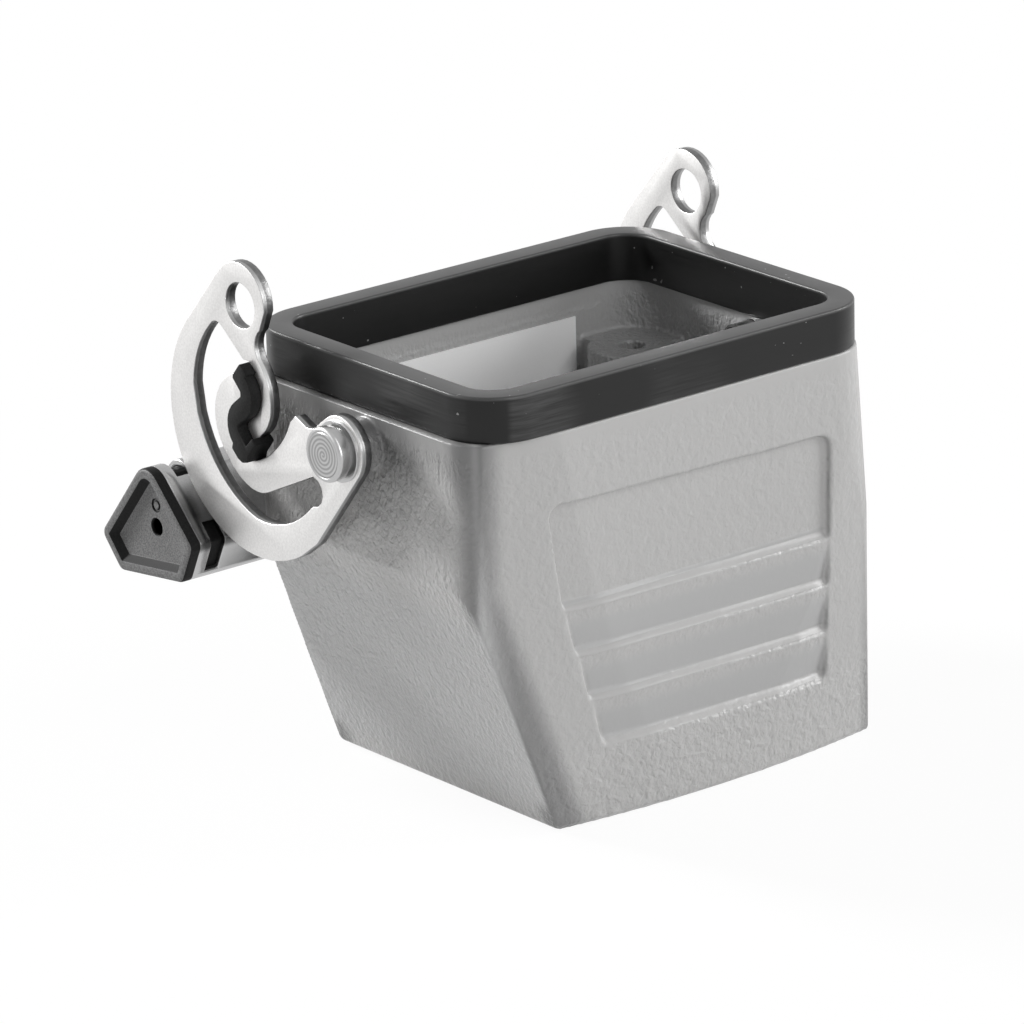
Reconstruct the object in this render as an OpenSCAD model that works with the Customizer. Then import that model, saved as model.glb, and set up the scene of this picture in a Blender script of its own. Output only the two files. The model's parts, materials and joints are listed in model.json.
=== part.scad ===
// Empty hood of a heavy duty rectangular connector, with one locking lever.
// Millimetres. The hood stands on its closed end with the opening upwards (+Z).
// +X runs along the long side, +Y points to the side where the open lever rests.
// The origin is on the base face, straight below the middle of the opening.

/* [Opening and seal] */
// length of the rubber seal along X
seal_x = 60; // [58:0.5:62]
// width of the rubber seal along Y
seal_y = 45; // [44:0.5:46]
// outer corner radius of the seal
seal_corner_r = 7; // [6:0.5:7.5]
// height of the seal outside, above the housing
seal_h = 5.6; // [5:0.1:6.5]
// width of the seal's top face
seal_top_w = 3.2; // [3:0.1:3.6]
// how far the inner lip hangs below the outer edge
seal_lip = 0.4; // [0.2:0.1:1]
// thickness of the metal rim inside the seal
rim_t = 1.2; // [1:0.1:1.4]
// height of the metal rim inside the seal
rim_h = 3.6; // [2.5:0.1:4]

/* [Housing] */
// height of the housing up to the seal
body_h = 49.4; // [47:0.2:52]
// how far the long faces stay inside the seal's side
face_step = 0.1; // [0:0.05:0.5]
// wall thickness
wall = 2.5; // [2.2:0.1:2.8]
// thickness of the closed end
floor_t = 3; // [2.5:0.1:4]
// how far the left end wall stands out past the seal
left_out = 0.8; // [0.4:0.1:1.2]
// how far the right end wall stands out past the seal
right_out = 1.5; // [1.2:0.1:2]
// how far the right end wall stands out at its top
right_top_out = 0.1; // [0:0.1:0.4]
// height at which the left end starts to slope inwards
slope_z = 31.6; // [29:0.2:34]
// how far the left end slopes inwards down to the base
slope_run = 11.9; // [10:0.1:14]
// radius of the upright corners
corner_r = 6.5; // [6:0.5:7]
// radius of the corners along the sloping end
slope_corner_r = 2.5; // [2:0.5:4]
// radius of the slight bulge of the long faces
crown_r = 156; // [140:2:180]
// position of the bulge's crest along X
crown_x = 4.5; // [3:0.5:7]
// how far the bulge's surface leans outwards at the top
crown_lean = 1.85; // [1.5:0.05:2.2]
// width of the bevel round the base
base_bevel = 0.6; // [0.4:0.1:1.5]

/* [Grip panel] */
// depth of the recessed panel below the face
panel_depth = 0.9; // [0.6:0.1:1.1]
// tilt of the panel, rising towards its left end, in degrees
panel_tilt = 1; // [0:0.1:1.2]
// height of the panel's upper edge
panel_top_z = 40.2; // [39:0.2:41]
// distance from the seal's right side to the panel's right edge
panel_inset = 7.9; // [6:0.1:10]
// distance from the left end to the panel's upper left corner
panel_start = 10; // [8:0.5:12]
// how far the panel's left edge leans in along the grip
panel_lean = 6; // [4:0.5:7]
// height of the first grip crest
crest_z = 27; // [26:0.2:28]
// distance from one grip crest to the next
crest_pitch = 5.9; // [5.5:0.1:6]
// height of the ledge above each crest
ledge_h = 0.9; // [0.6:0.1:1.2]
// depth of the crests below the face
crest_depth = 0.1; // [0.05:0.05:0.4]

/* [Insert screws] */
// distance between the screw holes along X
screw_dx = 44; // [44:0.1:44]
// distance between the screw holes along Y
screw_dy = 27; // [27:0.1:27]
// radius of the tapped holes
screw_r = 1.65; // [1.65:0.05:1.7]
// depth of the tapped holes
screw_depth = 10; // [8:0.5:11]
// radius of the bosses round the holes
boss_r = 5.3; // [4.4:0.1:5.4]
// width of the bosses from the hole to the side of their web
boss_side = 2.5; // [2:0.1:4]
// length of the bosses
boss_h = 12; // [11:0.5:12]
// depth of the bosses below the top of the seal
boss_drop = 12.25; // [12:0.05:12.5]

/* [Cable entry] */
// radius of the threaded entry in the right end
entry_r = 11.7; // [11.7:0.1:12]
// height of the entry's axis above the base
entry_z = 17.5; // [17:0.5:18]
// length of the thread, from the end face inwards
entry_len = 8.5; // [8:0.5:9]
// wall of the collar round the entry
entry_wall = 2.8; // [2.4:0.1:3]

/* [Lever] */
// position of the pivot along Y
pivot_y = -1.95; // [-2:0.05:-1.9]
// depth of the pivot below the housing's top
pivot_drop = 3.55; // [3.5:0.05:4.5]
// how far the lever plates' outer faces stand out past the seal
lever_out = 4.9; // [4.8:0.1:5.4]
// width of the lever plate along Y
lever_w = 36.6; // [35:0.2:37]
// thickness of the lever plates
plate_t = 1.5; // [1.2:0.1:1.6]
// radius of the eye round the pivot
eye_r = 4.15; // [4:0.05:4.3]
// outer radius of the ear at the lever's top
ear_r = 4.8; // [4.7:0.05:5]
// radius of the hole in the ear
ear_hole_r = 2.75; // [2.3:0.05:2.9]
// how far the plastic cam inserts stand out of the plates
cam_proud = 1.4; // [1:0.1:1.6]

/* [Pivot pins] */
// radius of the pin's shank
pin_r = 2.2; // [2:0.05:2.3]
// radial clearance between pin and lever plate
pin_clear = 0.05; // [0.02:0.01:0.1]
// radius of the pin's head
head_r = 3.3; // [3:0.1:3.5]
// thickness of the pin's head
head_t = 1.6; // [1.2:0.1:1.8]
// gap between the lever plate and the pin's head
head_gap = 0.9; // [0.6:0.1:1]
// distance from the seal's side to the pin's inner end
pin_reach = 5; // [4:0.1:5.5]
// radius of the cast boss that carries the pin
pin_boss_r = 3; // [2.8:0.1:3.4]
// radius of the pin's flange on the lever plate
flange_r = 3.7; // [3.5:0.1:3.9]
// thickness of the pin's flange
flange_t = 0.4; // [0.3:0.05:0.5]
// radius of the pin's neck behind the head
neck_r = 2.7; // [2.5:0.1:2.9]

/* [Handle] */
// how far the metal sleeve reaches past the lever plates
sleeve_out = 2; // [1.8:0.1:2.4]
// gap between the resting handle and the housing's face
rest_gap = 0.4; // [0.3:0.05:1]
// height from the handle's nearest edge up to the pivot
handle_drop = 17.35; // [17:0.05:17.8]
// depth of the handle's section along Y
handle_w = 18.3; // [17:0.1:19]
// thickness of the sleeve's sheet
sleeve_t = 0.8; // [0.6:0.1:1]
// thickness of the plastic end caps
cap_t = 1.4; // [1.2:0.1:1.6]
// width of the rim round the pocket of the end cap
cap_rim = 1.25; // [1:0.05:1.4]
// depth of the pocket in the end cap
cap_pocket = 1; // [0.6:0.1:1.1]
// radius of the hole in the end cap
cap_hole_r = 1.05; // [0.9:0.05:1.2]

/* [Label] */
// length of the blank label inside
label_x = 28; // [24:0.5:30]
// height of the blank label inside
label_h = 20; // [16:0.5:22]

/* [Hidden] */
$fn = 64;
total_h = body_h + seal_h;
body_half_y = seal_y / 2 - face_step;
left_x = seal_x / 2 + left_out;
right_x = seal_x / 2 + right_out;
right_top_x = seal_x / 2 + right_top_out;
base_left_x = left_x - slope_run;
panel_right_x = seal_x / 2 - panel_inset;
pivot_z = body_h - pivot_drop;
plate_x = seal_x / 2 + lever_out;
pin_inner_x = seal_x / 2 - pin_reach;
sleeve_x = plate_x + sleeve_out;
slope_a = atan((left_x - base_left_x) / slope_z);
flank_z = 29;
flank_a = atan((right_x - right_top_x) / (body_h - flank_z));
lean_a = atan(crown_lean / body_h);
boss_top = total_h - boss_drop;
groove_in = 1;
label_t = 0.2;
eps = 0.01;
grip_n = 3;
panel_bottom_z = crest_z - grip_n * crest_pitch;
mark_r = 0.75;
slot_reach = 3.4;
core_wall = 1.8;

// handle section as [y, z] corners from its nearest edge, with the radius of each corner
bar_edge = [body_half_y + rest_gap, pivot_z - handle_drop];
bar_k = handle_w / 18.3;
bar_shape = [[8.95, 9.1], [0, 0], [2.3, -5], [14.7, -6.45], [18.3, -2.4]];
bar_pts = [for (p = bar_shape) bar_edge + p * bar_k];
bar_rs = [2.8, 1.1, 1.5, 1.2, 1.2];

// name of the sub-part to draw, or all

// points on a circle from angle a0 to angle a1
function arc(c, r, a0, a1, n = 10) =
    [for (i = [0:n]) c + r * [cos(a0 + (a1 - a0) * i / n), sin(a0 + (a1 - a0) * i / n)]];

// angle of a point seen from c
function angle_of(c, p) = atan2(p[1] - c[1], p[0] - c[0]);

// centre of the circle through three points
function centre3(a, b, c) =
    let (d = 2 * (a[0] * (b[1] - c[1]) + b[0] * (c[1] - a[1]) + c[0] * (a[1] - b[1])),
         sa = a * a,
         sb = b * b,
         sc = c * c)
    [(sa * (b[1] - c[1]) + sb * (c[1] - a[1]) + sc * (a[1] - b[1])) / d,
     (sa * (c[0] - b[0]) + sb * (a[0] - c[0]) + sc * (b[0] - a[0])) / d];

// turn from angle a to angle b, between -180 and 180
function turn(a, b) = (b - a) - 360 * round((b - a) / 360);

// arc from a through b to c
function arc3(a, b, c, n = 8) =
    let (m = centre3(a, b, c),
         a0 = angle_of(m, a),
         t1 = turn(a0, angle_of(m, b)),
         t2 = turn(angle_of(m, b), angle_of(m, c)))
    arc(m, norm(a - m), a0, a0 + t1 + t2, n);

function unit(v) = v / norm(v);

// rounded corner at b between a and c
function corner(a, b, c, r, n) =
    let (u = unit(a - b),
         v = unit(c - b),
         h = acos(u * v) / 2,
         m = b + unit(u + v) * r / sin(h),
         a0 = angle_of(m, b + u * r / tan(h)),
         t = turn(a0, angle_of(m, b + v * r / tan(h))))
    arc(m, r, a0, a0 + t, n);

// closed outline with rounded corners
function round_path(pts, rs, n = 6) =
    [for (i = [0:len(pts) - 1])
        each corner(pts[(i + len(pts) - 1) % len(pts)], pts[i], pts[(i + 1) % len(pts)], rs[i], n)];

// outline moved inwards by d, for corners given clockwise
function inset_path(pts, d) =
    [for (i = [0:len(pts) - 1])
        let (a = pts[(i + len(pts) - 1) % len(pts)],
             b = pts[i],
             c = pts[(i + 1) % len(pts)],
             u = unit(a - b),
             v = unit(c - b),
             h = acos(u * v) / 2)
        b + unit(u + v) * d / sin(h)];

function less(rs, d) = [for (r = rs) max(r - d, 0.2)];

// rounded rectangle from [x0, y0] to [x1, y1]
module rrect(x0, y0, x1, y1, r) {
    hull_pts = concat(arc([x1 - r, y1 - r], r, 0, 90, 8), arc([x0 + r, y1 - r], r, 90, 180, 8),
                      arc([x0 + r, y0 + r], r, 180, 270, 8), arc([x1 - r, y0 + r], r, 270, 360, 8));
    polygon(hull_pts);
}

// draws a [y, z] outline from x to x + t
module along_x(x, t) {
    translate([x, 0, 0]) rotate([90, 0, 90]) linear_extrude(height = t) children();
}

// the hood's block, shrunk by d on every side
module block(d) {
    y = body_half_y - d;
    intersection() {
        linear_extrude(height = body_h) rrect(-left_x + d, -y, right_x - d, y, corner_r - d / 2);
        translate([-left_x, 0, slope_z]) rotate([0, -slope_a, 0]) translate([d, 0, -60])
            linear_extrude(height = 120) rrect(0, -y, 90, y, slope_corner_r - d / 4);
        translate([right_x, 0, flank_z]) rotate([0, -flank_a, 0]) translate([-d, 0, -60])
            linear_extrude(height = 120) rrect(-90, -y, 0, y, corner_r - d / 2);
        crown(d);
        mirror([0, 1, 0]) crown(d);
    }
}

// puts an upright round shape on the leaning axis of the bulging long face
module on_crown_axis() {
    translate([crown_x, crown_r - body_half_y + 0.15, 0]) rotate([lean_a, 0, 0])
        translate([0, 0, crown_r * tan(lean_a)]) children();
}

// large leaning cylinder whose surface is the bulging long face, bevelled at the base
module crown(d) {
    r = crown_r - d;
    on_crown_axis() {
        cylinder(h = base_bevel, r1 = r - base_bevel, r2 = r, $fn = 180);
        translate([0, 0, base_bevel]) cylinder(h = 60, r = r, $fn = 180);
        translate([0, 0, -12]) cylinder(h = 12, r = r - base_bevel, $fn = 180);
    }
}

// outline of the base's bevel at both ends
module end_bevels() {
    translate([0, 40, 0]) rotate([90, 0, 0]) linear_extrude(height = 80)
        polygon([[-base_left_x + base_bevel, 0], [right_x - base_bevel, 0], [right_x, base_bevel],
                 [right_x, 70], [-left_x - 8, 70], [-left_x - 8, slope_z],
                 [-base_left_x - base_bevel * 1.2, base_bevel]]);
}

// the panel's surface as [depth, z]: a flat floor, then ledges, crests and slopes
panel_steps = concat([[panel_depth, body_h]],
    [for (i = [0:grip_n])
        let (z = crest_z - i * crest_pitch)
        each [[panel_depth, z + ledge_h], [crest_depth, z]]],
    [[2 * crest_depth - panel_depth, panel_bottom_z - ledge_h]]);

// the same surface as an outline, closed at x0, with the depth taken from x1
function panel_outline(x0, x1, k) =
    concat([[x0, body_h]], [for (s = panel_steps) [x1 + k * s[0], s[1]]],
           [[x0, panel_bottom_z - ledge_h]]);

// one side's recessed panel with its saw-tooth grip
module panel() {
    r = 1.6;
    x = -left_x + panel_start;
    translate([0, 0, crest_z]) rotate([0, panel_tilt, 0]) translate([0, 0, -crest_z]) difference() {
        translate([0, -body_half_y + 4, 0]) rotate([90, 0, 0]) linear_extrude(height = 8)
            polygon(round_path([[x + 2.5 + panel_lean, panel_bottom_z - 0.3],
                                [panel_right_x, panel_bottom_z - 0.3],
                                [panel_right_x, panel_top_z], [x, panel_top_z],
                                [x + 2.5, crest_z]], [r, r, r, r, 6]));
        intersection() {
            along_x(-left_x, 2 * left_x) polygon(panel_outline(0, -body_half_y, 1));
            on_crown_axis() rotate_extrude($fn = 180) polygon(panel_outline(0, crown_r, -1));
        }
    }
}

// block for one insert screw, joined to the corner of the wall
module screw_boss() {
    x = screw_dx / 2;
    y = screw_dy / 2;
    translate([x, y, boss_top - boss_h]) {
        cylinder(h = boss_h, r = boss_r);
        translate([-boss_side, 0, 0]) cube([boss_side + 10, 9, boss_h]);
        translate([0, -boss_side, 0]) cube([11, boss_side + 9, boss_h]);
    }
}

// the upright metal rim that carries the seal
module rim(clear) {
    translate([0, 0, body_h - eps]) linear_extrude(height = rim_h + clear + eps) difference() {
        rrect(-seal_x / 2 + groove_in, -seal_y / 2 + groove_in,
              seal_x / 2 - groove_in, seal_y / 2 - groove_in, seal_corner_r - groove_in);
        rrect(-seal_x / 2 + groove_in + rim_t, -seal_y / 2 + groove_in + rim_t,
              seal_x / 2 - groove_in - rim_t, seal_y / 2 - groove_in - rim_t,
              seal_corner_r - groove_in - rim_t);
    }
}

module housing() {
    color([0.68, 0.68, 0.67]) difference() {
        union() {
            difference() {
                intersection() {
                    block(0);
                    end_bevels();
                }
                panel();
                mirror([0, 1, 0]) panel();
                translate([0, 0, floor_t]) block_cavity();
            }
            intersection() {
                block(wall / 2);
                union() {
                    for (sx = [0, 1])
                        for (sy = [0, 1])
                            mirror([sx, 0, 0]) mirror([0, sy, 0]) screw_boss();
                    translate([right_x - entry_len, 0, entry_z]) rotate([0, 90, 0])
                        cylinder(h = entry_len, r = entry_r + entry_wall, $fn = 96);
                }
            }
            rim(0);
            for (s = [0, 1])
                mirror([s, 0, 0]) translate([-plate_x + plate_t + 0.1, pivot_y, pivot_z])
                    rotate([0, 90, 0]) cylinder(h = 5.4, r = pin_boss_r);
        }
        for (sx = [-1, 1])
            for (sy = [-1, 1])
                translate([sx * screw_dx / 2, sy * screw_dy / 2, boss_top - screw_depth])
                    cylinder(h = screw_depth + 1, r = screw_r, $fn = 48);
        translate([right_x - entry_len - 1, 0, entry_z]) rotate([0, 90, 0])
            cylinder(h = entry_len + 2, r = entry_r, $fn = 96);
        translate([-plate_x, pivot_y, pivot_z]) rotate([0, 90, 0])
            cylinder(h = 2 * plate_x, r = pin_r, $fn = 48);
    }
}

// the hollow of the hood
module block_cavity() {
    block(wall);
    translate([0, 0, body_h - floor_t - 3]) linear_extrude(height = 6)
        rrect(-seal_x / 2 + wall, -seal_y / 2 + wall, seal_x / 2 - wall, seal_y / 2 - wall,
              seal_corner_r - wall / 2);
}

module rim_seal() {
    a = seal_x / 2;
    b = seal_y / 2;
    color([0.09, 0.09, 0.1]) difference() {
        union() {
            translate([0, 0, body_h]) linear_extrude(height = seal_h) rrect(-a, -b, a, b, seal_corner_r);
            translate([0, 0, body_h - seal_lip]) linear_extrude(height = seal_lip + eps)
                rrect(-a + wall, -b + wall, a - wall, b - wall, seal_corner_r - wall / 2);
        }
        translate([0, 0, body_h - 1]) linear_extrude(height = seal_h + 2)
            rrect(-a + seal_top_w, -b + seal_top_w, a - seal_top_w, b - seal_top_w, 4);
        rim(0);
    }
}

module inner_label() {
    y = body_half_y - wall;
    color([0.84, 0.84, 0.83])
        translate([screw_dx / 2 - 3.5 - label_x, y - label_t, boss_top + 2.9 - label_h])
            cube([label_x, label_t, label_h]);
}

// turned pin: shank, neck and rounded head, along the pivot axis
module pin() {
    x1 = plate_x + head_gap;
    color([0.8, 0.8, 0.79]) translate([-x1 - head_t, pivot_y, pivot_z]) rotate([0, 90, 0])
        rotate_extrude($fn = 64)
            polygon(concat([[0, 0]],
                           arc([head_r - 0.35, 0.35], 0.35, 270, 360, 5),
                           arc([head_r - 0.3, head_t - 0.3], 0.3, 0, 90, 5),
                           [[neck_r, head_t], [neck_r, head_t + head_gap - flange_t],
                            [flange_r, head_t + head_gap - flange_t], [flange_r, head_t + head_gap],
                            [pin_r, head_t + head_gap], [pin_r, x1 + head_t - pin_inner_x],
                            [0, x1 + head_t - pin_inner_x]]));
}

module left_pivot_pin() {
    pin();
}

module right_pivot_pin() {
    mirror([1, 0, 0]) pin();
}

// edge of the upper tongue where the cam insert lies, from its root to its tip
tongue_a_edge = concat([[16.85, 6.85], [15.55, 5.85], [15.85, 5.35]],
                       arc3([15.4, 4.95], [14.65, 2.9], [15.95, 0.35]),
                       [[17.25, -0.55], [17.55, -0.95], [17.35, -1.55], [16.15, -3.05]]);

// edge of the lower tongue where the cam insert lies, from its foot to its tip
tongue_b_edge = concat([[16.95, -5.3], [17.8, -4.95], [18.9, -3.9]],
                       arc3([18.7, -3.25], [19.6, -0.75], [18.2, 1.85]),
                       [[16.9, 2.85], [16.9, 3.45], [18.3, 4.85]]);

ear = [18.15, 13.35];
ear_top = [18.4, 13.75];

// outline of the lever plate in [y, z] from the pivot
plate_pts = concat(
    arc(ear_top, ear_r, 183, 41, 14),
    arc3([29.15, 8.75], [32.45, -0.6], [26.45, -13.35], 18),
    arc3([25.6, -14.0], [17.5, -17.0], [7.95, -14.85], 12),
    [[4.95, -12.65]],
    arc([0, 0], eye_r, 222, 50, 18),
    arc3([3.95, 2.2], [5.0, 1.45], [6.25, 1.35], 4),
    arc3([7.9, 2.1], [8.25, 2.2], [8.55, 1.95], 3),
    arc3([9.25, 1.25], [11.3, -1.95], [15.95, -5.05], 9),
    tongue_b_edge,
    arc3([20.05, 4.75], [23.75, -0.2], [22.45, -4.85], 10),
    arc3([21.45, -5.95], [19.5, -7.75], [16.95, -8.85], 5),
    arc3([15.9, -8.95], [14.9, -8.85], [13.9, -8.5], 3),
    arc3([5.25, -4.45], [3.75, -5.45], [5.45, -8.15], 6),
    arc3([6.95, -9.45], [10.4, -11.5], [15.2, -12.4], 6),
    arc3([16.45, -12.25], [22.6, -8.9], [27.25, -1.85], 10),
    arc3([27.85, 1.65], [27.2, 5.0], [24.3, 9.6], 8),
    arc3([23.75, 10.15], [22.95, 10.4], [22.0, 10.1], 4),
    [[17.95, 6.85]],
    tongue_a_edge,
    arc3([14.95, -1.85], [13.3, 0.4], [13.05, 3.4], 6),
    arc3([13.15, 4.15], [13.9, 5.8], [15.15, 7.45], 5),
    arc3([15.55, 8.45], [15.6, 9.5], [14.65, 11.05], 5));

plate_k = lever_w / 36.6;

module plate_2d() {
    translate([pivot_y, pivot_z]) scale(plate_k) polygon(plate_pts);
}

module lever_plate() {
    color([0.86, 0.86, 0.85]) difference() {
        along_x(-plate_x, plate_t) plate_2d();
        along_x(-plate_x - 1, plate_t + 2) translate([pivot_y, pivot_z]) {
            circle(r = pin_r + pin_clear);
            translate(ear * plate_k) circle(r = ear_hole_r);
        }
        along_x(-plate_x - 1, plate_t + 2) polygon(round_path(bar_pts, bar_rs));
    }
}

module left_lever_plate() {
    lever_plate();
}

module right_lever_plate() {
    mirror([1, 0, 0]) lever_plate();
}

// plastic track piece between the two tongues of the plate
module cam_insert() {
    color([0.1, 0.1, 0.1]) along_x(-plate_x - cam_proud, plate_t + cam_proud)
        translate([pivot_y, pivot_z]) scale(plate_k)
            polygon(concat(tongue_a_edge, [[14.95, -1.85], [14.3, -2.5], [15.75, -4.3], [15.95, -5.05]],
                           tongue_b_edge, [[18.2, 5.3], [17.1, 6.6]]));
}

module left_cam_insert() {
    cam_insert();
}

module right_cam_insert() {
    mirror([1, 0, 0]) cam_insert();
}

// slots in the sleeve's two visible folds at the lever plates
module fold_slots() {
    for (s = [0, 1])
        mirror([s, 0, 0]) along_x(-plate_x - 0.3, plate_t + 0.5)
            for (c = [bar_pts[0], bar_pts[1] * 0.8 + bar_pts[2] * 0.2, (bar_pts[3] + bar_pts[4]) / 2])
                translate(c) circle(r = slot_reach, $fn = 24);
}

module handle_sleeve() {
    color([0.82, 0.82, 0.81]) difference() {
        along_x(-sleeve_x, 2 * sleeve_x) difference() {
            polygon(round_path(bar_pts, bar_rs));
            polygon(round_path(inset_path(bar_pts, sleeve_t), less(bar_rs, sleeve_t)));
        }
        fold_slots();
    }
}

module handle_core() {
    color([0.1, 0.1, 0.1]) along_x(-sleeve_x, 2 * sleeve_x) difference() {
        polygon(round_path(inset_path(bar_pts, sleeve_t), less(bar_rs, sleeve_t)));
        polygon(round_path(inset_path(bar_pts, sleeve_t + core_wall), less(bar_rs, sleeve_t + core_wall)));
    }
}

module end_cap() {
    color([0.12, 0.12, 0.12]) difference() {
        along_x(-sleeve_x - cap_t, cap_t) polygon(round_path(bar_pts, bar_rs));
        along_x(-sleeve_x - cap_t - 1, cap_pocket + 1)
            polygon(round_path(inset_path(bar_pts, cap_rim), less(bar_rs, cap_rim)));
        along_x(-sleeve_x - cap_t - 1, cap_t + 2) translate(bar_edge + [8.2, 0.4] * bar_k) circle(r = cap_hole_r);
        along_x(-sleeve_x - cap_t, cap_pocket + 0.2) translate(bar_edge + [8.2, 3.1] * bar_k)
            circle(r = mark_r, $fn = 24);
    }
}

module left_end_cap() {
    end_cap();
}

module right_end_cap() {
    mirror([1, 0, 0]) end_cap();
}

housing();
rim_seal();
inner_label();
left_pivot_pin();
right_pivot_pin();
left_lever_plate();
right_lever_plate();
left_cam_insert();
right_cam_insert();
handle_sleeve();
handle_core();
left_end_cap();
right_end_cap();
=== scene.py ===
# %% [markdown]
# # Empty hood of a heavy duty rectangular connector
# A die-cast hood stands on its closed end, with its opening upwards. A black rubber seal
# runs round the opening, and one locking lever of two punched steel plates and a
# sheet-metal handle swings on two turned pins. The packed CAD model is the fixed frame:
# every piece below is placed from its boxes and rides on one of its two bodies.

# %% Load the frame
import json
import math

import bmesh
import bpy
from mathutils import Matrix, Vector


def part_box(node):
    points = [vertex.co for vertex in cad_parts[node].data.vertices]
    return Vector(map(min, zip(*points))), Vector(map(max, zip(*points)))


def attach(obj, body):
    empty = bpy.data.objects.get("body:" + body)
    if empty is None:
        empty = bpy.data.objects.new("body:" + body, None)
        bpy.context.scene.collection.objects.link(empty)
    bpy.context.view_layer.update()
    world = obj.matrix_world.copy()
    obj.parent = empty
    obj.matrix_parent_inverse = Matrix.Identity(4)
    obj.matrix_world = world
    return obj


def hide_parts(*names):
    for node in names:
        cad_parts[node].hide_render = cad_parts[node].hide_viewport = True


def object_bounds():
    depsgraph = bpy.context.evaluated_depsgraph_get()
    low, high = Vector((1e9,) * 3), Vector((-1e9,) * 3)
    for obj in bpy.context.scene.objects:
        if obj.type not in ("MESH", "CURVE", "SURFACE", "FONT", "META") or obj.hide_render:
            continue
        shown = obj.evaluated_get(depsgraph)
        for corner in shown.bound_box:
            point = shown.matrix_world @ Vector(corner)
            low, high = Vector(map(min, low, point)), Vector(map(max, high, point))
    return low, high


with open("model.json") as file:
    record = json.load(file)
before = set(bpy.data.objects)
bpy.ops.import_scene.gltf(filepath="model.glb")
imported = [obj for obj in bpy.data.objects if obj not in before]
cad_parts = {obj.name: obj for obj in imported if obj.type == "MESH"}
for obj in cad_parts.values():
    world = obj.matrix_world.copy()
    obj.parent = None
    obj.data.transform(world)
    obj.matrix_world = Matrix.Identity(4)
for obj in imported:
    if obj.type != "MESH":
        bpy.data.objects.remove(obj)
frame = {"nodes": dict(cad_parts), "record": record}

MM = 0.001
cad_low, cad_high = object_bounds()
print("CAD box in mm:", [round(v / MM, 1) for v in (*cad_low, *cad_high)])

# %% [markdown]
# ## Camera
# A long lens far away keeps the sides nearly parallel, as in product pictures. The camera
# stands to the left of the long face and a little above the opening.

# %% Camera
camera_data = bpy.data.cameras.new("camera")
camera_data.sensor_width = 36
camera_data.lens = 251.9
camera = bpy.data.objects.new("camera", camera_data)
camera.location = (-0.510751, -0.621651, 0.303754)
camera.rotation_euler = (1.242657, 0.022806, -0.687706)
bpy.context.scene.collection.objects.link(camera)
bpy.context.scene.camera = camera
bpy.context.scene.view_settings.view_transform = "Standard"
print("camera at", round(camera.location.length, 3), "m, lens", round(camera_data.lens, 1), "mm")

# %% [markdown]
# ## Wires
# Node maths is easier to read as sums. A `Wire` is one number that comes out of a socket,
# and each operator adds the Math node that it needs. The reflected forms let a plain
# number come first, as in `1 - mask`.


# %% Wires
class Wire:
    """A number that comes out of a node's socket."""

    def __init__(self, nodes, socket):
        self.nodes = nodes
        self.socket = socket

    def math(self, operation, *values):
        made = self.nodes.node("ShaderNodeMath", {"operation": operation},
                               dict(enumerate(values)))
        return Wire(self.nodes, made.outputs[0])

    def __add__(self, other):
        return self.math("ADD", self, other)

    def __radd__(self, other):
        return self.math("ADD", other, self)

    def __sub__(self, other):
        return self.math("SUBTRACT", self, other)

    def __rsub__(self, other):
        return self.math("SUBTRACT", other, self)

    def __mul__(self, other):
        return self.math("MULTIPLY", self, other)

    def __rmul__(self, other):
        return self.math("MULTIPLY", other, self)

    def __truediv__(self, other):
        return self.math("DIVIDE", self, other)

    def __pow__(self, other):
        return self.math("POWER", self, other)

    def absolute(self):
        return self.math("ABSOLUTE", self)

    def fraction(self):
        return self.math("FRACT", self)

    def ramp(self, low, high, to_low=0.0, to_high=1.0, shape="SMOOTHSTEP"):
        """From to_low to to_high, with soft ends, while the value goes from low to high."""
        made = self.nodes.node("ShaderNodeMapRange", {"interpolation_type": shape},
                               {"Value": self, "From Min": low, "From Max": high,
                                "To Min": to_low, "To Max": to_high})
        return Wire(self.nodes, made.outputs["Result"])

    def over(self, low_mm, high_mm, to_low=0.0, to_high=1.0):
        """As ramp, for a length that goes from low_mm to high_mm."""
        return self.ramp(low_mm * MM, high_mm * MM, to_low, to_high)


print("operators of a wire:", sum(name.startswith("__") for name in vars(Wire)))

# %% [markdown]
# ## Node trees and finishes
# A material, the world and a Geometry Nodes tree are all node trees, so one `node` method
# makes every node in them: its settings first, then the values or links of its sockets.
# A `Finish` is a material with one Principled shader, and its patterns read Object
# coordinates, so they keep to the piece when it moves.


# %% Node trees and finishes
class Nodes:
    """A node tree of any kind."""

    def __init__(self, tree):
        self.tree = tree

    def node(self, kind, settings=None, inputs=None):
        made = self.tree.nodes.new(kind)
        for key, value in (settings or {}).items():
            setattr(made, key, value)
        for key, value in (inputs or {}).items():
            self.feed(made.inputs[key], value)
        return made

    def feed(self, socket, value):
        """Links a wire or an output to a socket, or sets a plain value on it."""
        if isinstance(value, Wire):
            value = value.socket
        if isinstance(value, bpy.types.NodeSocket):
            self.tree.links.new(value, socket)
        else:
            socket.default_value = value


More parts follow.
